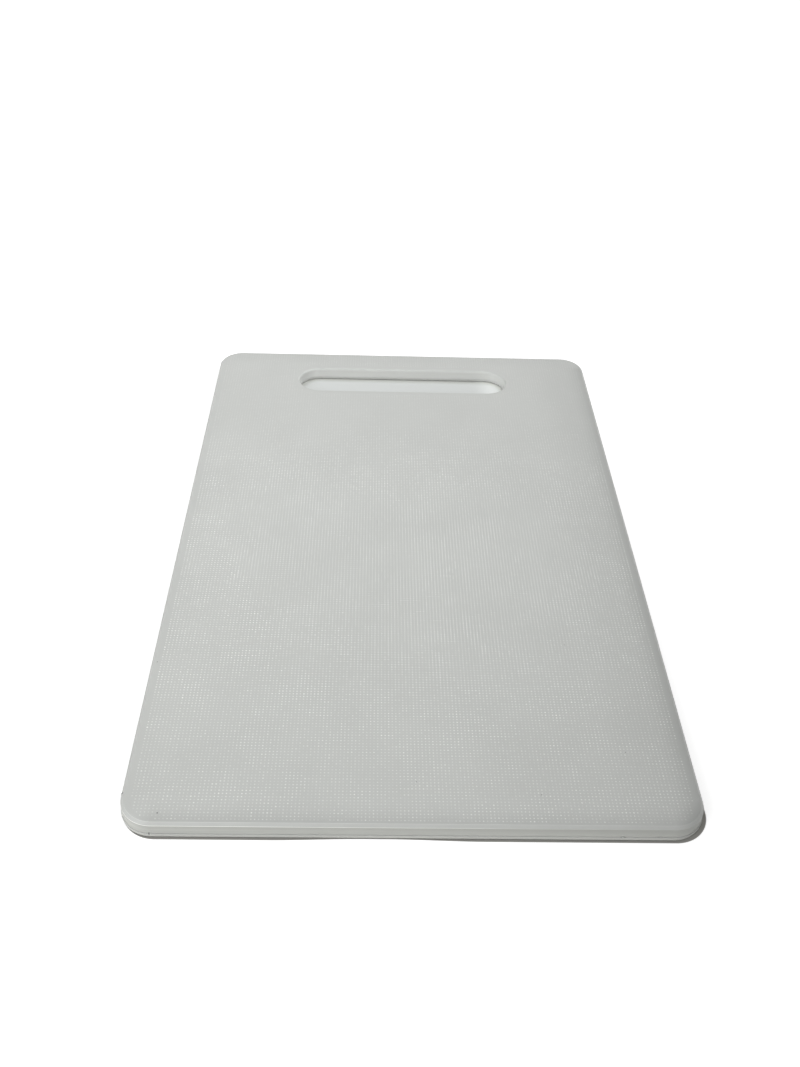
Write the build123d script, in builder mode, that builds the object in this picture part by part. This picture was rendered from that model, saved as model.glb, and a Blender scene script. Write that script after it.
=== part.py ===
"""A small rigid cutting board, moulded in one piece, with a carrying slot at its back end.

Millimetres, +Z up. The origin is the middle of the underside, +Y points to the slot end.
"""

import os

from build123d import *

os.makedirs("parts", exist_ok=True)

# Overall size, over the lower lip and over the crests of both textured faces
board_length = 300.0
board_width = 190.0
board_thickness = 6.5
corner_radius = 11.5

# Parting line: the lower half of the moulding stands proud of the wall above it
parting_height = 1.65
parting_step = 0.25
wall_draft_angle = 1.0

# Outer edges
top_bevel = 0.95
bevel_softening = 0.3
bottom_edge_radius = 0.6

# Textured faces: a field of fine raised dots, held here as one plateau at their crests
texture_relief = 0.12
texture_side_margin = 3.5
texture_end_margin = 1.8

# Carrying slot
slot_length = 105.0
slot_width = 21.0
slot_to_back_edge = 16.0
slot_top_radius = 1.0
slot_bottom_radius = 1.1
slot_texture_margin = 2.6

# An edge's rounding never takes more than this share of the wall that carries it
rounding_limit_share = 0.8

# Heights of the smooth borders, and of the two halves of the wall
lower_border_height = texture_relief
upper_border_height = board_thickness - texture_relief
lower_wall = parting_height - lower_border_height
upper_wall = upper_border_height - parting_height
slot_wall = upper_border_height - lower_border_height

# Outline of the upper half at the parting line, set back from the lower lip
upper_length = board_length - 2 * parting_step
upper_width = board_width - 2 * parting_step
upper_corner_radius = corner_radius - parting_step

# Outline of the textured fields
field_length = board_length - 2 * texture_end_margin
field_width = board_width - 2 * texture_side_margin
field_corner_radius = corner_radius - texture_side_margin

# Place of the slot's middle
slot_centre_y = board_length / 2 - slot_to_back_edge - slot_width / 2

# Roundings, held back where a wall is too low for them
bevel = min(top_bevel, rounding_limit_share * upper_wall)
bevel_rounding = min(bevel_softening, rounding_limit_share * bevel / 2)
lip_rounding = min(bottom_edge_radius, rounding_limit_share * lower_wall)
slot_rounding_limit = rounding_limit_share * slot_wall / 2
slot_top_rounding = min(slot_top_radius, slot_rounding_limit)
slot_bottom_rounding = min(slot_bottom_radius, slot_rounding_limit)


def field_outline(height):
    """The textured field's outline at one height, less the smooth borders at the edge and slot."""
    with BuildSketch(Plane.XY.offset(height)) as outline:
        RectangleRounded(field_width, field_length, field_corner_radius)
        with Locations((0, slot_centre_y)):
            SlotOverall(
                slot_length + 2 * slot_texture_margin,
                slot_width + 2 * slot_texture_margin,
                mode=Mode.SUBTRACT,
            )
    return outline.sketch


with BuildPart() as cutting_board:
    # Lower half of the moulding, up to the parting line
    with BuildSketch(Plane.XY.offset(lower_border_height)):
        RectangleRounded(board_width, board_length, corner_radius)
    extrude(amount=lower_wall)
    fillet(cutting_board.faces().sort_by(Axis.Z)[0].edges(), lip_rounding)

    # Upper half, set back at the parting line and drafted towards the top
    with BuildSketch(Plane.XY.offset(parting_height)):
        RectangleRounded(upper_width, upper_length, upper_corner_radius)
    extrude(amount=upper_wall, taper=wall_draft_angle)

    # Bevelled top edge, its two borders softened
    chamfer(cutting_board.faces().sort_by(Axis.Z)[-1].edges(), bevel)
    bevel_faces = cutting_board.faces().filter_by(
        lambda face: upper_border_height - bevel < face.center().Z < upper_border_height
        and face.bounding_box().size.Z < 2 * bevel
    )
    bevel_borders = bevel_faces.edges().filter_by(
        lambda edge: edge.bounding_box().size.Z < bevel / 2
    )
    fillet(bevel_borders, bevel_rounding)

    # Carrying slot, open through the board, rounded for the hand on both faces
    with BuildSketch(Plane.XY.offset(lower_border_height)):
        with Locations((0, slot_centre_y)):
            SlotOverall(slot_length, slot_width)
    extrude(amount=slot_wall, mode=Mode.SUBTRACT)
    top_face = cutting_board.faces().filter_by(Axis.Z).sort_by(Axis.Z)[-1]
    fillet(top_face.inner_wires().edges(), slot_top_rounding)
    bottom_face = cutting_board.faces().filter_by(Axis.Z).sort_by(Axis.Z)[0]
    fillet(bottom_face.inner_wires().edges(), slot_bottom_rounding)

    # Textured fields on both faces
    extrude(field_outline(upper_border_height), amount=texture_relief)
    extrude(field_outline(lower_border_height), amount=-texture_relief)

cutting_board.part.label = "cutting_board"
export_step(cutting_board.part, "parts/cutting_board.step")
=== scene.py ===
"""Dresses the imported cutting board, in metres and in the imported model's own frame.

The board is one rigid moulding. It is drawn as the two halves that meet at its parting line: each
is a closed mesh with a field of raised dots, softened edges and the small flaws of the moulding.
"""

import math

import bpy
import numpy as np
from mathutils import Matrix, Vector
from mathutils.geometry import delaunay_2d_cdt


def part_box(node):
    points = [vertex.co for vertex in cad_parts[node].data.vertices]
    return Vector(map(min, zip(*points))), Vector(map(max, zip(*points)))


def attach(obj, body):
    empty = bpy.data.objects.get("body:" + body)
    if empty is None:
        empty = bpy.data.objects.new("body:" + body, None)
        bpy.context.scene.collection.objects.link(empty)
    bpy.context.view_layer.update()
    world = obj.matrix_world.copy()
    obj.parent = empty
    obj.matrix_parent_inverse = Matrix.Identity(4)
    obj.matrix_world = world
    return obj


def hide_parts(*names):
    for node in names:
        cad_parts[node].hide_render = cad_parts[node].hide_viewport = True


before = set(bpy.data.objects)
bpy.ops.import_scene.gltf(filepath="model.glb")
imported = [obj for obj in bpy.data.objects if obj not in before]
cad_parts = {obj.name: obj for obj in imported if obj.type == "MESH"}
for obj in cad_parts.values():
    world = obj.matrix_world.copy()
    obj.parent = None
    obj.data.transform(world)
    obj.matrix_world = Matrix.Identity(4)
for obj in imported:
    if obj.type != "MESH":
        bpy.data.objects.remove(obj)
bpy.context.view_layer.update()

MM = 0.001
UPPER, LOWER = 1, -1

# Overall size, from the frame
BOARD_LOW, BOARD_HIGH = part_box("cutting_board")
HALF_WIDTH = BOARD_HIGH.x
HALF_LENGTH = BOARD_HIGH.y

# Edges of the moulding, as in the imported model
CORNER_RADIUS = 11.5 * MM
PARTING_HEIGHT = 1.65 * MM
PARTING_STEP = 0.25 * MM
WALL_DRAFT = math.radians(1.0)
TOP_BEVEL = 0.95 * MM
BEVEL_ROUNDING = 0.3 * MM
BOTTOM_ROUNDING = 0.6 * MM
LIP_ROUNDING = 0.07 * MM
PROFILE_END = 1.25 * MM

# The carrying slot
SLOT_LENGTH = 105.0 * MM
SLOT_WIDTH = 21.0 * MM
SLOT_TO_BACK_EDGE = 16.0 * MM
SLOT_ROUNDINGS = {UPPER: 1.0 * MM, LOWER: 1.1 * MM}
SLOT_PROFILE_END = 1.5 * MM
SLOT_CENTRE = (0.0, HALF_LENGTH - SLOT_TO_BACK_EDGE - SLOT_WIDTH / 2)

# The field of dots on each face
DOT_RELIEF = 0.12 * MM
DOT_HEIGHT_SPREAD = 0.02 * MM
FIELD_SIDE_MARGIN = 3.5 * MM
FIELD_END_MARGIN = 1.8 * MM
SLOT_FIELD_MARGIN = 2.6 * MM
FIELD_CORNER_RADIUS = CORNER_RADIUS - FIELD_SIDE_MARGIN
FIELD_SIZE = 2 * np.array([HALF_WIDTH - FIELD_SIDE_MARGIN, HALF_LENGTH - FIELD_END_MARGIN])
DOTS = np.round(FIELD_SIZE / (1.25 * MM)).astype(int)
PITCH = FIELD_SIZE / DOTS
CREST_LEVELS = {UPPER: BOARD_HIGH.z, LOWER: BOARD_LOW.z}
BORDER_LEVELS = {UPPER: BOARD_HIGH.z - DOT_RELIEF, LOWER: BOARD_LOW.z + DOT_RELIEF}

# The rectangles that the outlines run round
TRACK = (HALF_WIDTH - CORNER_RADIUS, HALF_LENGTH - CORNER_RADIUS)
FIELD_TRACK = tuple(FIELD_SIZE / 2 - FIELD_CORNER_RADIUS)
SLOT_TRACK = ((SLOT_LENGTH - SLOT_WIDTH) / 2, 0.0)

# How finely the outlines and walls are drawn
SIDE_STEP = 1.0 * MM
CORNER_STEP = 0.8 * MM
WALL_STEP = 0.45 * MM
FLAW_SPAN = 0.9 * MM
FLAW_STEPS = 13
ARC_STEPS = 4
SHARP_TURN = 1.0
TINY = 0.05 * MM
ROUND_OFF = 1e-9
CUT_PRECISION = 1e-6
WITHIN_EDGES = 1

# Flaws of the edge, in mm: place on the outline, half width, reach, lowest and highest level
FLAWS = (
    ((-95.0, -137.3), 0.55, 0.30, 3.6, 5.9),
    ((-94.0, -143.2), 0.60, 0.28, 1.5, 2.6),
    ((-84.1, -150.0), 0.45, -0.32, 0.9, 2.3),
    ((-30.7, -150.0), 0.35, -0.20, 1.1, 2.1),
    ((66.9, -150.0), 0.60, -0.25, 1.1, 2.2),
    ((79.1, -150.0), 0.90, -0.20, 1.1, 2.1),
    ((95.0, 41.0), 0.50, -0.20, 1.1, 2.1),
    ((12.0, 150.0), 0.60, -0.22, 1.0, 2.1),
)
FLAW_SEARCH = 3.0 * MM
LIP_WAVE = 0.03 * MM
LIP_FLOOR = 1.3 * MM
WAVE_TURNS = (3, 7, 13, 29, 61)

# Dark specks in the plastic of the face, and painted shade in the nicks and under the flash of the
# walls, in mm: place and half sizes
SPECKS_AND_NICK_SHADE = (
    ((-81.8, -145.4, 6.4), (0.32, 0.32, 0.5)),
    ((-12.6, 5.8, 6.4), (0.28, 0.28, 0.5)),
    ((58.3, -67.4, 6.4), (0.26, 0.26, 0.5)),
    ((72.3, -118.9, 6.4), (0.24, 0.24, 0.5)),
    ((0.9, -132.2, 6.4), (0.22, 0.22, 0.5)),
    ((41.6, -137.0, 6.4), (0.22, 0.22, 0.5)),
    ((-92.5, -78.8, 6.4), (0.24, 0.24, 0.5)),
    # The last five lie on the walls: painted shade in the nicks and under the flash along the parting
    # line
    ((-94.4, -137.3, 5.9), (0.5, 0.5, 0.5)),
    ((-94.2, -142.3, 2.4), (0.4, 0.4, 0.4)),
    ((-84.2, -149.9, 1.7), (0.3, 0.5, 0.8)),
    ((67.0, -149.9, 1.75), (1.5, 0.5, 0.17)),
    ((79.0, -149.9, 1.8), (1.1, 0.5, 0.15)),
)
SPECK_EDGE = (0.5, 1.0)
SPECK_SHADE = 0.3

# The plastic itself
PLASTIC_COLOUR = (0.578, 0.59, 0.57)
PLASTIC_IOR = 1.5
TRANSLUCENCE = 0.4
TRANSLUCENCE_DEPTH = 2.0 * MM

# Relief of the finish, in mm: how far the faces fall towards the edges, the dots, grain and ripples
CROWN = 1.0
DOT_DOME = 0.05
GRAIN = 0.008
RIPPLE = 0.12

# Sizes of what is uneven, in waves to the mm
GRAIN_SCALE = 2.2
RIPPLE_SCALE = 0.07
CLOUD_SCALE = 0.03
PATCH_SCALE = 0.09
GLOSS_SCALE = 0.12

# Clouds in the colour: the noise that they span, and their shades
CLOUD_SPAN = (0.3, 0.7)
CLOUD_SHADES = (0.985, 1.015)

# Roughness, from the least to the most, and how much glossier the dots are
ROUGHNESS = (0.39, 0.49)
DOT_GLOSS = 0.08

# How much darker the borders are on the side that lies away from the light, and from which upward
# part of the normal to which this goes over into the walls
AWAY_FROM_LIGHT = (1.15, -1.0, 0.0)
BORDER_TO_WALL = (0.95, 0.75)
BORDER_SHADE = 0.2
WALL_SHADE = 0.12

# How much painted shade darkens the right side, where the light falls off, and from where to where,
# in mm
RIGHT_FALL = (62.0, 88.0)
RIGHT_SHADE = 0.94

# How much painted light brightens the front wall, and painted highlight its bevel and the bevel's
# upper and lower
# borders: the upward parts of the normal where each band starts, is full, fades and ends, and how
# much brighter it is at the right and left
PAINTED_HIGHLIGHT_BANDS = (
    (-1.0, -0.5, 0.1, 0.25, (0.0, 0.12)),
    (0.45, 0.65, 0.75, 0.9, (0.04, 0.12)),
    (0.75, 0.85, 0.96, 0.995, (0.15, 0.3)),
    (0.1, 0.25, 0.5, 0.68, (0.05, 1.4)),
)
PAINTED_HIGHLIGHT_FRONT = (-139.0, -147.0)

# What counts as the slot's wall: how far from its outline, and by the upward part of the normal
SLOT_WALL_REACH = (1.3 * MM, 0.9 * MM)
SLOT_WALL_STEEPNESS = (0.9, 0.1)

# How much painted light brightens the slot's wall, along it, and from where to where at its right and
# left, in mm
SLOT_WALL_GLOW = 0.14
SLOT_RIGHT = (36.0, 52.0)
SLOT_RIGHT_GLOW = 0.4
SLOT_LEFT = (-43.0, -51.0)
SLOT_LEFT_GLOW = -0.05

# How dark the painted shade at the slot wall's foot is, from which height to which, in mm, and its
# tint there
SLOT_FOOT = (0.3, 2.2)
SLOT_FOOT_SHADE = 0.55
SLOT_FOOT_TINT = (1.0, 1.0, 0.94)

# What counts as the outer walls, by the upward part of the normal and the place beyond the track
OUTER_STEEPNESS = (0.8, 0.1)
OUTER_SHARE = 0.5

# Painted light on the outer walls, for light coming through them: a little yellow, and growing
# downward, in mm
WALL_TINT = (1.005, 1.0, 0.97)
WALL_RUN = (5.0, 1.2)
WALL_CHANGE = (-0.1, 0.15)

# The dots: radius at the foot and at the top, in mm, share of the full height, and how far above
# the borders they start to show, in mm
DOT_FOOT = (0.34, 0.42)
DOT_TOP = 0.08
DOT_HEIGHTS = (0.75, 1.25)
DOT_START = 0.01

# How much paler the dots are, as paler tops and painted highlights, from the least to the most, how
# unevenly over the face, how much more so behind the front end, and how low they are worn at the
# back; the places are in mm
DOT_PALER_AND_GLINT = (0.13, 0.42)
PATCH_SPAN = (0.35, 0.65)
DOT_PATCHES = (0.75, 1.25)
FRONT_END = (-140.0, -30.0)
BEHIND_FRONT = 1.6
BACK_END = (20.0, 100.0)
DOT_WEAR = 0.25

# Seeds of what is uneven
LIP_SEED = 11
DOT_SEEDS = {UPPER: 5, LOWER: 6}

# The map that the finish is laid out on, in texels: faces, unrolled walls and the parting plane
MAP_SIZE = 1024
DOT_TEXELS = 4
FACE_MIDDLE = (310, 512)
STRIP_WIDTH = 34
STRIP_GAP = 8
STRIP_TEXELS = 3.2 / MM
OUTER_STRIPS = (630, 4)
SLOT_STRIPS = (800, 1)
CAP_MIDDLE = (930, 512)
CAP_TEXELS = 0.6 / MM

# The camera, at the photograph's place
CAMERA_PLACE = (-0.01588, -0.35942, 0.29341)
CAMERA_PITCH = math.radians(38.731)
CAMERA_YAW = math.radians(2.071)
CAMERA_ROLL = math.radians(-2.196)
FOCAL_PIXELS = 1085.76
PHOTO_HEIGHT = 1067
SENSOR = 36.0
CLIP_START = 0.01

# The floor
FLOOR_HALF = 4.0
FLOOR_COLOUR = (0.88, 0.88, 0.88)
FLOOR_GLOW_NEAR = 0.5
FLOOR_NEAR = (0.35 * MM, 0.7 * MM)
FLOOR_FAR = 0.25

# The painted contact shadow round the board: how wide, how dark, and where it is shifted and thinned
CONTACT_REACH = (0.25 * MM, 0.6 * MM)
CONTACT_SHADE = (0.325, 0.32, 0.3)
CONTACT_SHIFT = (1.0 * MM, -0.3 * MM)
CONTACT_THINNEST = -12.0 * MM
CONTACT_THIN_REACH = (4.0 * MM, 35.0 * MM)
CONTACT_THINNING = 0.7 * MM

# The floor in the slot, with painted shade round its edge, and both less shade and painted light
# towards the right
SLOT_FLOOR_COLOUR = (0.69, 0.71, 0.7)
SLOT_SHADE_REACH = 3.6 * MM
SLOT_SHADES = (0.81, 0.95)
SLOT_SHADE_FADE = (34.0 * MM, 50.0 * MM)
SLOT_SHADE_TINT = (1.01, 1.0, 0.965)
SLOT_UNDER = 2.0 * MM
SLOT_FLOOR_FADE = (36.0 * MM, 50.0 * MM)
SLOT_FLOOR_PAINTED_LIGHT = 1.3

# The light
WORLD_LIGHT = 0.4
KEY_PLACE = (0.006, 0.069, 0.4)
KEY_AIM = (-0.297, 0.212, 0.0)
KEY_SIZE = 0.63
KEY_SPREAD = math.radians(96.2)
KEY_POWER = 0.8
FILL_PLACE = (-0.64, -0.7, 0.68)
FILL_AIM = (0.0, 0.0, 0.0)
FILL_SIZE = 0.5
FILL_POWER = 3.5

# White, and what keeps only the level part of a place
WHITE = (1.0, 1.0, 1.0)
LEVEL = (1.0, 1.0, 0.0)


class Skin:
    """Collects the vertices, normals, faces and map places of one closed mesh."""

    def __init__(self, facing):
        self.facing = facing
        self.places = []
        self.normals = []
        self.count = 0
        self.corners = []
        self.sizes = []
        self.map_places = []

    def add(self, places, normals):
        """Adds vertices and returns their numbers."""
        numbers = np.arange(self.count, self.count + len(places))
        self.places.append(places)
        self.normals.append(np.broadcast_to(normals, places.shape))
        self.count += len(places)
        return numbers

    def cover(self, faces, map_places):
        """Adds faces of one size, given counter-clockwise as the upper half shows them."""
        if self.facing < 0:
            faces = faces[:, ::-1]
            map_places = map_places[:, ::-1]
        self.corners.append(faces.ravel())
        self.sizes.append(np.full(len(faces), faces.shape[1]))
        self.map_places.append(map_places.reshape(-1, 2))

    def mesh(self, name):
        """Makes the mesh, smooth by the normals that came with its vertices."""
        places = np.vstack(self.places)
        sizes = np.concatenate(self.sizes)
        corners = np.concatenate(self.corners)
        mesh = bpy.data.meshes.new(name)
        mesh.vertices.add(len(places))
        mesh.vertices.foreach_set("co", places.ravel())
        mesh.loops.add(len(corners))
        mesh.loops.foreach_set("vertex_index", corners)
        mesh.polygons.add(len(sizes))
        mesh.polygons.foreach_set("loop_start", np.cumsum(sizes) - sizes)
        mesh.update(calc_edges=True)
        mesh.shade_smooth()
        layer = mesh.uv_layers.new(name="OFBake")
        layer.uv.foreach_set("vector", np.vstack(self.map_places).ravel() / MAP_SIZE)
        mesh.normals_split_custom_set_from_vertices(np.vstack(self.normals))
        mesh.validate()
        return mesh


class Track:
    """The rectangle that an outline runs round, counter-clockwise, with the way out at each point."""

    def __init__(self, centre, halves, radius, marks=()):
        half_x, half_y = halves
        corners = [(half_x, half_y), (-half_x, half_y), (-half_x, -half_y), (half_x, -half_y)]
        marks = [np.array(mark) * MM - centre for mark in marks]
        points, ways = [], []
        for turn in range(4):
            start = np.array(corners[turn - 1])
            end = np.array(corners[turn])
            first = turn * math.pi / 2
            side = np.linalg.norm(end - start)
            if side:
                along = (end - start) / side
                flaws = [(mark - start) @ along for mark in marks]
                for shift in stops(side, SIDE_STEP, flaws):
                    points.append(start + shift * along)
                    ways.append((math.cos(first), math.sin(first)))
            angles = [math.atan2(*(mark - end)[::-1]) % (2 * math.pi) - first for mark in marks]
            flaws = [radius * angle for angle in angles]
            for shift in stops(radius * math.pi / 2, CORNER_STEP, flaws):
                way = first + shift / radius
                points.append(end)
                ways.append((math.cos(way), math.sin(way)))
        self.radius = radius
        self.points = np.array(points) + np.array(centre)
        self.ways = np.array(ways)

    def at(self, reach):
        """The outline this far out from the track."""
        return self.points + reach * self.ways

    def lengths(self):
        """How far along the outline each of its points lies, and last its whole length."""
        line = self.at(self.radius)
        steps = np.linalg.norm(np.roll(line, -1, axis=0) - line, axis=1)
        return np.concatenate([[0.0], np.cumsum(steps)])


def stops(length, step, flaws):
    """Places along a run of an outline, evenly spaced but closer together at the flaws."""
    count = round(length / step)
    places = list(np.arange(count) * length / count)
    for middle in flaws:
        if -FLAW_SPAN < middle < length + FLAW_SPAN:
            places += list(middle + np.linspace(-FLAW_SPAN, FLAW_SPAN, FLAW_STEPS))
    places = np.sort([place for place in places if 0 <= place < length - TINY])
    return places[np.concatenate([[True], np.diff(places) > TINY])]


def rounded(corners, radii):
    """A profile's points and right-hand normals: straight runs between corners, with arcs in them.

    Corners are (reach, height), from the parting line to the face. Only the inner ones are round.
    """
    corners = [np.array(c) for c in corners]
    places, normals = [], []
    for i in range(len(corners)):
        before = corners[i] - corners[i - 1] if i else corners[1] - corners[0]
        after = corners[i + 1] - corners[i] if i < len(corners) - 1 else before
        before = before / np.linalg.norm(before)
        after = after / np.linalg.norm(after)
        if not 0 < i < len(corners) - 1:
            places.append(corners[i])
            normals.append(np.array([after[1], -after[0]]))
            continue
        turn = math.acos(before @ after)
        radius = radii[i - 1]
        start = corners[i] - before * radius * math.tan(turn / 2)
        side = 1 if before[0] * after[1] - before[1] * after[0] > 0 else -1
        inward = side * np.array([-before[1], before[0]])
        centre = start + inward * radius
        steps = ARC_STEPS if turn < SHARP_TURN else 2 * ARC_STEPS
        for step in range(steps + 1):
            angle = side * turn * step / steps
            spoke = np.array([
                -inward[0] * math.cos(angle) + inward[1] * math.sin(angle),
                -inward[0] * math.sin(angle) - inward[1] * math.cos(angle),
            ])
            places.append(centre + spoke * radius)
            normals.append(side * spoke)
    return places, normals


def divided(places, normals, longest):
    """The same profile, with its long straight runs cut into equal steps."""
    new_places, new_normals = [places[0]], [normals[0]]
    for i in range(1, len(places)):
        steps = max(1, round(np.linalg.norm(places[i] - places[i - 1]) / longest))
        for share in np.arange(1, steps + 1) / steps:
            new_places.append(places[i - 1] + (places[i] - places[i - 1]) * share)
            new_normals.append(normals[i - 1] + (normals[i] - normals[i - 1]) * share)
    return np.array(new_places), np.array(new_normals)


def outer_profile(facing):
    """The outer wall, from the parting line to a face."""
    border = BORDER_LEVELS[facing]
    inset = CORNER_RADIUS - PARTING_STEP
    if facing == LOWER:
        corners = [
            (inset, PARTING_HEIGHT),
            (CORNER_RADIUS, PARTING_HEIGHT),
            (CORNER_RADIUS, border),
            (CORNER_RADIUS - PROFILE_END, border),
        ]
        return divided(*rounded(corners, (LIP_ROUNDING, BOTTOM_ROUNDING)), WALL_STEP)
    edge = inset - (border - PARTING_HEIGHT) * math.tan(WALL_DRAFT)
    corners = [
        (inset, PARTING_HEIGHT),
        (edge + TOP_BEVEL * math.sin(WALL_DRAFT), border - TOP_BEVEL * math.cos(WALL_DRAFT)),
        (edge - TOP_BEVEL, border),
        (edge - PROFILE_END, border),
    ]
    return divided(*rounded(corners, (BEVEL_ROUNDING, BEVEL_ROUNDING)), WALL_STEP)


def slot_profile(facing):
    """The slot's wall, from the parting line to a face."""
    corners = [
        (SLOT_WIDTH / 2, PARTING_HEIGHT),
        (SLOT_WIDTH / 2, BORDER_LEVELS[facing]),
        (SLOT_WIDTH / 2 + SLOT_PROFILE_END, BORDER_LEVELS[facing]),
    ]
    return divided(*rounded(corners, (SLOT_ROUNDINGS[facing],)), WALL_STEP)


def wave(lengths, seed):
    """A smooth uneven wave from 0 to 1 along a closed outline."""
    phases = np.random.default_rng(seed).uniform(0, 2 * math.pi, len(WAVE_TURNS))
    total = sum(
        np.sin(2 * math.pi * turns * lengths[:-1] / lengths[-1] + phase)
        for turns, phase in zip(WAVE_TURNS, phases)
    )
    return (total - total.min()) / np.ptp(total)


def flaw_reach(track, reach, level, facing):
    """How far the flaws push each point of the outer wall outward."""
    places = track.at(reach)
    pushed = np.zeros(len(places))
    sideways = np.stack([-track.ways[:, 1], track.ways[:, 0]], 1)
    for place, half_width, out, low, high in FLAWS:
        apart = places - np.array(place) * MM
        along = np.abs((apart * sideways).sum(1)) / (half_width * MM)
        near = (along < 1) & (np.linalg.norm(apart, axis=1) < FLAW_SEARCH)
        share = (level / MM - low) / (high - low)
        if 0 < share < 1:
            pushed[near] += out * MM * (1 - along[near] ** 2) ** 2 * math.sin(share * math.pi)
    if facing == LOWER and level > LIP_FLOOR and reach > CORNER_RADIUS - PARTING_STEP:
        pushed -= wave(track.lengths(), LIP_SEED) * LIP_WAVE
    return pushed


def swept(skin, track, profile, side, strips):
    """Adds the surface that a profile makes round a track, and returns its first and last rings.

    side is 1 where the material lies inside the outline, and -1 where it lies outside it.
    """
    places, normals = profile
    grid = np.zeros((len(places), len(track.points), 3))
    pushed = np.zeros(grid.shape[:2])
    for ring, (reach, level) in enumerate(places):
        if side > 0:
            pushed[ring] = flaw_reach(track, reach, level, skin.facing)
        grid[ring, :, :2] = track.at(reach) + pushed[ring][:, None] * track.ways
        grid[ring, :, 2] = level
    smooth = np.zeros(grid.shape)
    smooth[:, :, :2] = normals[:, None, :1] * track.ways
    smooth[:, :, 2] = normals[:, None, 1]
    smooth *= side * skin.facing

    # Where flaws bend the surface, its normals follow them
    touched = np.abs(pushed) > LIP_WAVE
    touched |= np.roll(touched, 1, axis=1) | np.roll(touched, -1, axis=1)
    along = np.roll(grid, -1, axis=1) - np.roll(grid, 1, axis=1)
    bent = np.cross(along[touched], np.gradient(grid, axis=0)[touched])
    bent /= np.linalg.norm(bent, axis=1, keepdims=True)
    smooth[touched] = bent * np.sign((bent * smooth[touched]).sum(1, keepdims=True))

    rings = [skin.add(grid[ring], smooth[ring]) for ring in range(len(places))]
    runs = np.cumsum(np.linalg.norm(np.diff(places, axis=0), axis=1))
    shares = np.concatenate([[0.0], runs]) / runs[-1]
    for ring in range(len(places) - 1):
        low, high = rings[ring], rings[ring + 1]
        faces = np.stack([low, np.roll(low, -1), np.roll(high, -1), high], 1)
        map_places = strip_map(track, strips, shares[ring], shares[ring + 1])
        if side < 0:
            faces = faces[:, ::-1]
            map_places = map_places[:, ::-1]
        skin.cover(faces, map_places)
    return rings[0], rings[-1]


def strip_map(track, strips, low, high):
    """The map places of one row of a wall's quads, unrolled in strips that run up the map."""
    first_left, count = strips
    lengths = track.lengths()
    part = lengths[-1] / count
    strip = np.minimum(lengths[:-1] // part, count - 1)
    left = first_left + strip * (STRIP_WIDTH + STRIP_GAP)
    start = STRIP_GAP + (lengths[:-1] - strip * part) * STRIP_TEXELS
    end = STRIP_GAP + (lengths[1:] - strip * part) * STRIP_TEXELS
    corners = [(low, start), (low, end), (high, end), (high, start)]
    return np.stack([np.stack([left + share * STRIP_WIDTH, v], 1) for share, v in corners], 1)


def face_map(places, facing):
    """The map places of points on a face, with a whole number of texels to each dot."""
    return places / PITCH * DOT_TEXELS * (facing, 1) + FACE_MIDDLE


def cap_map(places, facing):
    """The map places of points in the parting plane, which nothing sees."""
    return places * CAP_TEXELS * (-facing, 1) + CAP_MIDDLE


def outside_by(places, halves):
    """How far points lie outside a rectangle round the origin."""
    return np.linalg.norm(np.maximum(np.abs(places) - halves, 0), axis=-1)


def dotted_cells():
    """The corners of the grid of dots, and which of its cells lie wholly in the field."""
    x, y = ((np.arange(count + 1) - count / 2) * pitch for count, pitch in zip(DOTS, PITCH))
    corners = np.stack(np.meshgrid(x, y), -1)
    within = outside_by(corners, FIELD_TRACK) <= FIELD_CORNER_RADIUS + ROUND_OFF
    within &= outside_by(corners - SLOT_CENTRE, SLOT_TRACK) >= SLOT_WIDTH / 2 + SLOT_FIELD_MARGIN
    return corners, within[:-1, :-1] & within[:-1, 1:] & within[1:, :-1] & within[1:, 1:]


def filled(skin, loops, up, to_map, other_edges=(), covered=None):
    """Fills the flat region between an outer and an inner loop with triangles facing up or down.

    covered tells which places have faces already, within the other edges.
    """
    edges = [np.stack([loop, np.roll(loop, -1)], 1) for loop in loops]
    numbers, edges = np.unique(np.vstack([*edges, *other_edges]), return_inverse=True)
    places = np.vstack(skin.places)[numbers][:, :2]
    points = [Vector(place) for place in places / MM]
    edges = [tuple(edge) for edge in edges.reshape(-1, 2).tolist()]
    _, _, faces, origins, _, _ = delaunay_2d_cdt(points, edges, [], WITHIN_EDGES, CUT_PRECISION)
    faces = np.array([origin[0] for origin in origins])[np.array(faces)]
    faces = faces[~np.isin(numbers[faces], loops[1]).all(1)]
    if covered:
        faces = faces[~covered(places[faces].mean(1))]
    first, second = (places[faces[:, i]] - places[faces[:, 0]] for i in (1, 2))
    turn = first[:, 0] * second[:, 1] - first[:, 1] * second[:, 0]
    wrong = turn * up * skin.facing < 0
    faces[wrong] = faces[wrong][:, ::-1]
    skin.cover(numbers[faces], to_map(places[faces], skin.facing))


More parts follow.
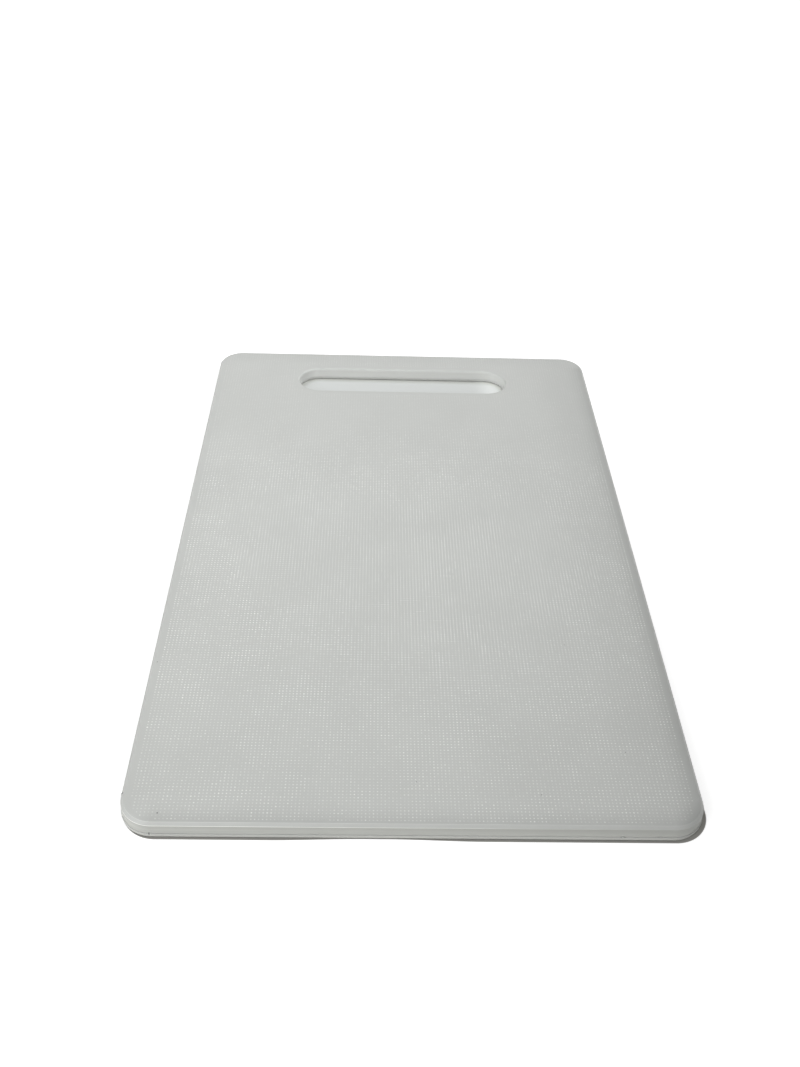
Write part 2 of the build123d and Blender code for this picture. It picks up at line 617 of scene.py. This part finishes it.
def dotted_face(skin, loops):
    """Adds a face: its dots, and the smooth borders between them and the walls."""
    facing = skin.facing
    corners, dotted = dotted_cells()
    rows, columns = np.nonzero(dotted)
    turns = ((0, 0), (0, 1), (1, 1), (1, 0))
    used = np.zeros(corners.shape[:2], bool)
    for down, across in turns:
        used[rows + down, columns + across] = True
    levels = np.full(used.sum(), BORDER_LEVELS[facing])
    grid = np.zeros(used.shape, int)
    grid[used] = skin.add(np.column_stack([corners[used], levels]), (0.0, 0.0, facing))

    # The crests of the dots, each at its own height
    short = np.random.default_rng(DOT_SEEDS[facing]).random(len(rows))
    short = (short - short.min()) * DOT_HEIGHT_SPREAD
    middles = (corners[rows, columns] + corners[rows + 1, columns + 1]) / 2
    crests = np.column_stack([middles, CREST_LEVELS[facing] - facing * short])
    tops = skin.add(crests, (0.0, 0.0, facing))
    ring = [grid[rows + down, columns + across] for down, across in turns]
    ring_places = [corners[rows + down, columns + across] for down, across in turns]
    border = []
    outside = np.pad(~dotted, 1, constant_values=True)
    for i, (down, across) in enumerate(((-1, 0), (0, 1), (1, 0), (0, -1))):
        j = (i + 1) % 4
        places = np.stack([ring_places[i], ring_places[j], middles], 1)
        skin.cover(np.stack([ring[i], ring[j], tops], 1), face_map(places, facing))
        last = outside[rows + 1 + down, columns + 1 + across]
        border.append(np.stack([ring[i][last], ring[j][last]], 1))

    def in_dots(places):
        column, row = np.floor(places / PITCH + DOTS / 2).astype(int).T + 1
        row, column = np.clip(row, 0, DOTS[1] + 1), np.clip(column, 0, DOTS[0] + 1)
        return ~outside[row, column]

    filled(skin, loops, facing, face_map, border, in_dots)


def board_half(name, facing):
    """One half of the moulding, as a closed mesh from the parting plane to its face."""
    skin = Skin(facing)
    outer = Track((0.0, 0.0), TRACK, CORNER_RADIUS, [flaw[0] for flaw in FLAWS])
    slot = Track(SLOT_CENTRE, SLOT_TRACK, SLOT_WIDTH / 2)
    outer_cap, outer_loop = swept(skin, outer, outer_profile(facing), 1, OUTER_STRIPS)
    slot_cap, slot_loop = swept(skin, slot, slot_profile(facing), -1, SLOT_STRIPS)
    dotted_face(skin, [outer_loop, slot_loop])
    filled(skin, [outer_cap, slot_cap], -facing, cap_map)
    piece = bpy.data.objects.new(name, skin.mesh(name))
    bpy.context.scene.collection.objects.link(piece)
    return piece


class Recipe:
    """A material's nodes, written as calls."""

    def __init__(self, tree):
        self.tree = tree
        tree.nodes.clear()

    def feed(self, socket, value):
        """Gives a socket a link or a value."""
        if isinstance(value, bpy.types.NodeSocket):
            self.tree.links.new(value, socket)
        else:
            socket.default_value = value

    def node(self, kind, inputs=(), **settings):
        """Adds a node, with values or links for the inputs that are named."""
        node = self.tree.nodes.new("ShaderNode" + kind)
        for name, value in settings.items():
            setattr(node, name, value)
        for name, value in dict(inputs).items():
            self.feed(node.inputs[name], value)
        return node

    def math(self, operation, *values):
        """One sum on numbers."""
        node = self.node("Math", operation=operation)
        for socket, value in zip(node.inputs, values):
            self.feed(socket, value)
        return node.outputs[0]

    def vector(self, operation, *values, output=0):
        """One sum on vectors."""
        node = self.node("VectorMath", operation=operation)
        for socket, value in zip(node.inputs, values):
            self.feed(socket, value)
        return node.outputs[output]

    def scaled(self, vector, scale):
        """A vector made longer or shorter."""
        node = self.node("VectorMath", {"Scale": scale}, operation="SCALE")
        self.feed(node.inputs[0], vector)
        return node.outputs[0]

    def mix(self, share, first, second):
        """Goes from the first vector to the second as share goes from 0 to 1."""
        apart = self.vector("SUBTRACT", second, first)
        return self.vector("ADD", first, self.scaled(apart, share))

    def ease(self, value, start, end, low=0.0, high=1.0):
        """Goes smoothly from low, where the value is start, to high, where it is end."""
        inputs = {
            "Value": value,
            "From Min": start,
            "From Max": end,
            "To Min": low,
            "To Max": high,
        }
        return self.node("MapRange", inputs, interpolation_type="SMOOTHSTEP").outputs[0]

    def between(self, chance, least, most):
        """Goes evenly from the least to the most as chance goes from 0 to 1."""
        return self.math("MULTIPLY_ADD", chance, most - least, least)

    def noise(self, place, scale, detail=2.0):
        """Smooth noise round 0.5, at a scale in waves to the unit of place."""
        inputs = {"Vector": place, "Scale": scale, "Detail": detail}
        return self.node("TexNoise", inputs).outputs["Fac"]


def outward_of_track(make, place, centre, halves):
    """The way out to a place from the rectangle that an outline runs round, and its length."""
    shifted = make.vector("SUBTRACT", place, (*centre, 0.0))
    shifted = make.vector("MULTIPLY", shifted, LEVEL)
    held = make.vector("MAXIMUM", shifted, (*(-half for half in halves), 0.0))
    held = make.vector("MINIMUM", held, (*halves, 0.0))
    outward = make.vector("SUBTRACT", shifted, held)
    return outward, make.vector("LENGTH", outward, output="Value")


def beyond_track(make, place, centre, halves):
    """How far a place lies outside the rectangle that an outline runs round."""
    return outward_of_track(make, place, centre, halves)[1]


def board_plastic():
    """Milky satin plastic, with raised dots that are paler and glossier, partly worn and partly
    painted highlights, and with painted light and shade on its edges, walls and slot.
    """
    material = bpy.data.materials.new("board_plastic")
    material.use_nodes = True
    make = Recipe(material.node_tree)
    metres = make.node("TexCoord").outputs["Object"]
    place = make.scaled(metres, 1 / MM)
    parts = make.node("SeparateXYZ", {"Vector": place}).outputs

    # Where this point lies in its cell of the grid, and a random number for the cell
    pitch = (*(PITCH / MM), 1.0)
    cell = make.vector("ADD", make.vector("DIVIDE", place, pitch), (*(DOTS / 2), 0.0))
    middle_height = (BOARD_LOW.z + BOARD_HIGH.z) / 2 / MM
    side = make.math("GREATER_THAN", parts["Z"], middle_height)
    flat_cell = make.vector("MULTIPLY", make.vector("FLOOR", cell), LEVEL)
    cell_key = make.vector("ADD", flat_cell, make.node("CombineXYZ", {"Z": side}).outputs[0])
    chance = make.node("TexWhiteNoise", {"Vector": cell_key}, noise_dimensions="3D").outputs
    chances = make.node("SeparateColor", {"Color": chance["Color"]}).outputs
    inside = make.vector("SUBTRACT", make.vector("FRACTION", cell), (0.5, 0.5, 0.0))
    inside = make.vector("MULTIPLY", inside, (pitch[0], pitch[1], 0.0))
    from_middle = make.vector("LENGTH", inside, output="Value")

    # The dots show where the mesh stands above its borders
    above = make.math("ABSOLUTE", make.math("SUBTRACT", parts["Z"], middle_height))
    border_height = (BORDER_LEVELS[UPPER] - BORDER_LEVELS[LOWER]) / 2 / MM
    raised = make.math("GREATER_THAN", above, border_height + DOT_START)
    dot_size = make.between(chances["Blue"], *DOT_FOOT)
    dome = make.math("MULTIPLY", make.ease(from_middle, dot_size, DOT_TOP), raised)
    height = make.between(chances["Green"], *DOT_HEIGHTS)
    height = make.math("MULTIPLY", height, make.ease(parts["Y"], *BACK_END, 1.0, DOT_WEAR))
    dome = make.math("MULTIPLY", dome, height)

    # Both faces fall away a little towards the board's edges
    outward, beyond = outward_of_track(make, metres, (0.0, 0.0), TRACK)
    to_edge = make.math("DIVIDE", beyond, CORNER_RADIUS)
    crown = make.math("MULTIPLY", make.math("POWER", to_edge, 2.0), CROWN)

    # Unevenness of the surface
    ripple = make.noise(place, RIPPLE_SCALE)
    grain = make.noise(place, GRAIN_SCALE, detail=4.0)
    relief = make.math("MULTIPLY_ADD", dome, DOT_DOME, make.math("MULTIPLY", grain, GRAIN))
    relief = make.math("MULTIPLY_ADD", ripple, RIPPLE, relief)
    relief = make.math("SUBTRACT", relief, crown)
    bump = make.node("Bump", {"Strength": 1.0, "Distance": MM, "Height": relief})

    # The dots are paler, as paler tops and painted highlights, and the colour is cloudy
    cloud = make.ease(make.noise(place, CLOUD_SCALE, detail=3.0), *CLOUD_SPAN, *CLOUD_SHADES)
    paleness_and_glint = make.between(chances["Red"], *DOT_PALER_AND_GLINT)
    patches = make.ease(make.noise(place, PATCH_SCALE, detail=3.0), *PATCH_SPAN, *DOT_PATCHES)
    behind_front = make.ease(parts["Y"], *FRONT_END, 1.0, BEHIND_FRONT)
    paleness_and_glint = make.math("MULTIPLY", paleness_and_glint, behind_front)
    dot_shade = make.math("MULTIPLY_ADD", dome, make.math("MULTIPLY", paleness_and_glint, patches), 1.0)
    shade = make.math("MULTIPLY", cloud, dot_shade)

    # Painted shade: borders and walls are darker away from the light, and the right side is darker as
    # a whole
    normal = make.node("TexCoord").outputs["Normal"]
    steep = make.math("ABSOLUTE", make.node("SeparateXYZ", {"Vector": normal}).outputs["Z"])
    unit_outward = make.scaled(outward, 1 / CORNER_RADIUS)
    away = make.vector("DOT_PRODUCT", unit_outward, AWAY_FROM_LIGHT, output="Value")
    away = make.math("POWER", make.math("MAXIMUM", away, 0.0), 2.0)
    darker = make.ease(steep, *BORDER_TO_WALL, -BORDER_SHADE, -WALL_SHADE)
    away = make.math("MULTIPLY", away, darker)
    shade = make.math("MULTIPLY", shade, make.math("ADD", away, 1.0))
    shade = make.math("MULTIPLY", shade, make.ease(parts["X"], *RIGHT_FALL, 1.0, RIGHT_SHADE))

    # Painted light on the front wall and painted highlights on its bevel, most of all along the
    # bevel's two borders
    painted_highlight = 0.0
    for start, rise, fall, end, paler in PAINTED_HIGHLIGHT_BANDS:
        band = make.math("MULTIPLY", make.ease(steep, start, rise), make.ease(steep, end, fall))
        along_front = make.ease(parts["X"], HALF_WIDTH / MM, -HALF_WIDTH / MM, *paler)
        painted_highlight = make.math("MULTIPLY_ADD", band, along_front, painted_highlight)
    at_front = make.math("MULTIPLY", side, make.ease(parts["Y"], *PAINTED_HIGHLIGHT_FRONT))
    painted_highlight = make.math("MULTIPLY", painted_highlight, at_front)
    shade = make.math("MULTIPLY", shade, make.math("ADD", painted_highlight, 1.0))

    # Painted light on the slot's wall, for light from the face coming through it, more at its right
    # and less at its left
    at_slot = beyond_track(make, metres, SLOT_CENTRE, SLOT_TRACK)
    wall_start, wall_full = (SLOT_WIDTH / 2 + reach for reach in SLOT_WALL_REACH)
    slot_wall = make.ease(at_slot, wall_start, wall_full)
    slot_wall = make.math("MULTIPLY", slot_wall, make.ease(steep, *SLOT_WALL_STEEPNESS))
    right_glow = make.ease(parts["X"], *SLOT_RIGHT, SLOT_WALL_GLOW, SLOT_RIGHT_GLOW)
    left_glow = make.ease(parts["X"], *SLOT_LEFT, 0.0, SLOT_LEFT_GLOW - SLOT_WALL_GLOW)
    glow = make.math("ADD", right_glow, left_glow)
    shade = make.math("MULTIPLY", shade, make.math("MULTIPLY_ADD", slot_wall, glow, 1.0))

    # Painted shade at its foot, except at the right end
    foot = make.ease(parts["Z"], *SLOT_FOOT, 1.0 - SLOT_FOOT_SHADE, 0.0)
    foot = make.math("MULTIPLY", slot_wall, foot)
    foot = make.math("MULTIPLY", foot, make.ease(parts["X"], *SLOT_RIGHT, 1.0, 0.0))
    shade = make.math("MULTIPLY", shade, make.math("SUBTRACT", 1.0, foot))

    # Specks in the plastic, and painted shade in the nicks and under the flash of the walls
    for speck, half_size in SPECKS_AND_NICK_SHADE:
        apart = make.vector("DIVIDE", make.vector("SUBTRACT", place, speck), half_size)
        apart = make.vector("LENGTH", apart, output="Value")
        shade = make.math("MULTIPLY", shade, make.ease(apart, *SPECK_EDGE, SPECK_SHADE, 1.0))

    # Painted light on the outer walls too
    outer_wall = make.math("GREATER_THAN", to_edge, OUTER_SHARE)
    outer_wall = make.math("MULTIPLY", make.ease(steep, *OUTER_STEEPNESS), outer_wall)
    tint = make.mix(outer_wall, WHITE, WALL_TINT)
    tint = make.mix(foot, tint, SLOT_FOOT_TINT)
    wall_change = make.ease(parts["Z"], *WALL_RUN, *WALL_CHANGE)
    wall_shade = make.math("MULTIPLY_ADD", outer_wall, wall_change, 1.0)
    shade = make.math("MULTIPLY", shade, wall_shade)
    colour = make.vector("MULTIPLY", make.scaled(PLASTIC_COLOUR, shade), tint)

    # Gloss
    gloss = make.between(make.noise(place, GLOSS_SCALE, detail=3.0), *ROUGHNESS)
    gloss = make.math("SUBTRACT", gloss, make.math("MULTIPLY", dome, DOT_GLOSS))

    inputs = {
        "Base Color": colour,
        "Roughness": gloss,
        "Normal": bump.outputs[0],
        "IOR": PLASTIC_IOR,
        "Subsurface Weight": TRANSLUCENCE,
        "Subsurface Radius": WHITE,
        "Subsurface Scale": TRANSLUCENCE_DEPTH,
    }
    shader = make.node("BsdfPrincipled", inputs)
    output = make.node("OutputMaterial")
    make.feed(output.inputs["Surface"], shader.outputs[0])
    return material


def seen_straight(make):
    """1 for what the camera sees itself, or in a mirror or through glass."""
    path = make.node("LightPath").outputs
    direct = make.math("MAXIMUM", path["Is Camera Ray"], path["Is Glossy Ray"])
    return make.math("MAXIMUM", direct, path["Is Transmission Ray"])


def floor_material():
    """A white floor that keeps the board's shadow and brightens away from it, with a painted contact
    shadow round the board and painted shade and light in the slot.
    """
    material = bpy.data.materials.new("floor_white")
    material.use_nodes = True
    make = Recipe(material.node_tree)
    place = make.node("TexCoord").outputs["Object"]
    straight = seen_straight(make)
    from_slot_track = beyond_track(make, place, SLOT_CENTRE, SLOT_TRACK)
    in_slot = make.math("SUBTRACT", SLOT_WIDTH / 2, from_slot_track)
    across = make.node("SeparateXYZ", {"Vector": place}).outputs["X"]

    # The painted contact shadow shows at the front and right, and is thinnest in the front's middle
    outside = make.math("SUBTRACT", beyond_track(make, place, CONTACT_SHIFT, TRACK), CORNER_RADIUS)
    from_middle = make.math("ABSOLUTE", make.math("SUBTRACT", across, CONTACT_THINNEST))
    thinning = make.ease(from_middle, *CONTACT_THIN_REACH, CONTACT_THINNING, 0.0)
    outside = make.math("ADD", outside, thinning)

    # Seen straight, it is white beyond the painted contact shadow, and a pale grey in the slot, with
    # painted shade and light there
    near = make.ease(outside, *FLOOR_NEAR, 0.0, FLOOR_GLOW_NEAR)
    far = make.ease(outside, FLOOR_NEAR[1], FLOOR_FAR, 0.0, 1.0 - FLOOR_GLOW_NEAR)
    glow = make.math("MULTIPLY", make.math("ADD", near, far), straight)
    contact_shade = make.mix(make.ease(outside, *CONTACT_REACH), CONTACT_SHADE, WHITE)
    around = make.vector("MULTIPLY", FLOOR_COLOUR, contact_shade)
    slot_shade = make.ease(across, *SLOT_SHADE_FADE, *SLOT_SHADES)
    slot_shade = make.scaled(SLOT_SHADE_TINT, slot_shade)
    slot_shade = make.mix(make.ease(in_slot, 0.0, SLOT_SHADE_REACH), slot_shade, WHITE)
    slot_painted_light = make.ease(across, *SLOT_FLOOR_FADE, 1.0, SLOT_FLOOR_PAINTED_LIGHT)
    through = make.scaled(make.vector("MULTIPLY", SLOT_FLOOR_COLOUR, slot_shade), slot_painted_light)
    seen = make.mix(make.math("GREATER_THAN", in_slot, -SLOT_UNDER), around, through)
    colour = make.mix(straight, FLOOR_COLOUR, seen)
    diffuse = make.node("BsdfDiffuse", {"Color": colour})
    shine = make.node("Emission", {"Strength": glow})
    both = make.node("AddShader")
    make.feed(both.inputs[0], diffuse.outputs[0])
    make.feed(both.inputs[1], shine.outputs[0])
    output = make.node("OutputMaterial")
    make.feed(output.inputs["Surface"], both.outputs[0])
    return material


def studio_floor():
    """A wide floor at the board's underside."""
    mesh = bpy.data.meshes.new("floor")
    signs = ((-1, -1), (1, -1), (1, 1), (-1, 1))
    corners = [(x * FLOOR_HALF, y * FLOOR_HALF, 0.0) for x, y in signs]
    mesh.from_pydata(corners, [], [(0, 1, 2, 3)])
    mesh.materials.append(floor_material())
    floor = bpy.data.objects.new("floor", mesh)
    bpy.context.scene.collection.objects.link(floor)


def studio_world():
    """Even light from all round, in front of a white background."""
    world = bpy.data.worlds.new("studio")
    world.use_nodes = True
    bpy.context.scene.world = world
    make = Recipe(world.node_tree)
    strength = make.math("MULTIPLY_ADD", seen_straight(make), 1.0 - WORLD_LIGHT, WORLD_LIGHT)
    background = make.node("Background", {"Color": (*WHITE, 1.0), "Strength": strength})
    output = make.node("OutputWorld")
    make.feed(output.inputs["Surface"], background.outputs[0])


def area_light(name, place, aim, size, power, spread=math.pi):
    """A square soft box that faces a point."""
    light = bpy.data.lights.new(name, "AREA")
    light.shape = "SQUARE"
    light.size = size
    light.energy = power
    light.spread = spread
    lamp = bpy.data.objects.new(name, light)
    lamp.location = place
    lamp.rotation_euler = (Vector(aim) - Vector(place)).to_track_quat("-Z", "Y").to_euler()
    bpy.context.scene.collection.objects.link(lamp)


def photo_camera():
    """The camera at the photograph's place, with its view and its lean."""
    level = math.cos(CAMERA_PITCH)
    level_forward = Vector((math.sin(CAMERA_YAW), math.cos(CAMERA_YAW), 0.0))
    forward = level_forward * level - Vector((0.0, 0.0, math.sin(CAMERA_PITCH)))
    flat_right = Vector((math.cos(CAMERA_YAW), -math.sin(CAMERA_YAW), 0.0))
    upright = flat_right.cross(forward)
    up = upright * math.cos(CAMERA_ROLL) + flat_right * math.sin(CAMERA_ROLL)
    right = forward.cross(up)
    data = bpy.data.cameras.new("photo_camera")
    data.sensor_width = SENSOR
    data.lens = FOCAL_PIXELS * SENSOR / PHOTO_HEIGHT
    data.clip_start = CLIP_START
    camera = bpy.data.objects.new("photo_camera", data)
    turned = Matrix((right, up, -forward)).transposed().to_4x4()
    camera.matrix_world = Matrix.Translation(CAMERA_PLACE) @ turned
    bpy.context.scene.collection.objects.link(camera)
    bpy.context.scene.camera = camera


plastic = board_plastic()
for half_name, half_facing in (("board_upper", UPPER), ("board_lower", LOWER)):
    half = board_half(half_name, half_facing)
    half.data.materials.append(plastic)
    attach(half, "root")
    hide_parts("cutting_board")

studio_floor()
studio_world()
area_light("key", KEY_PLACE, KEY_AIM, KEY_SIZE, KEY_POWER, KEY_SPREAD)
area_light("fill", FILL_PLACE, FILL_AIM, FILL_SIZE, FILL_POWER)
photo_camera()

bpy.context.scene.view_settings.view_transform = "Standard"
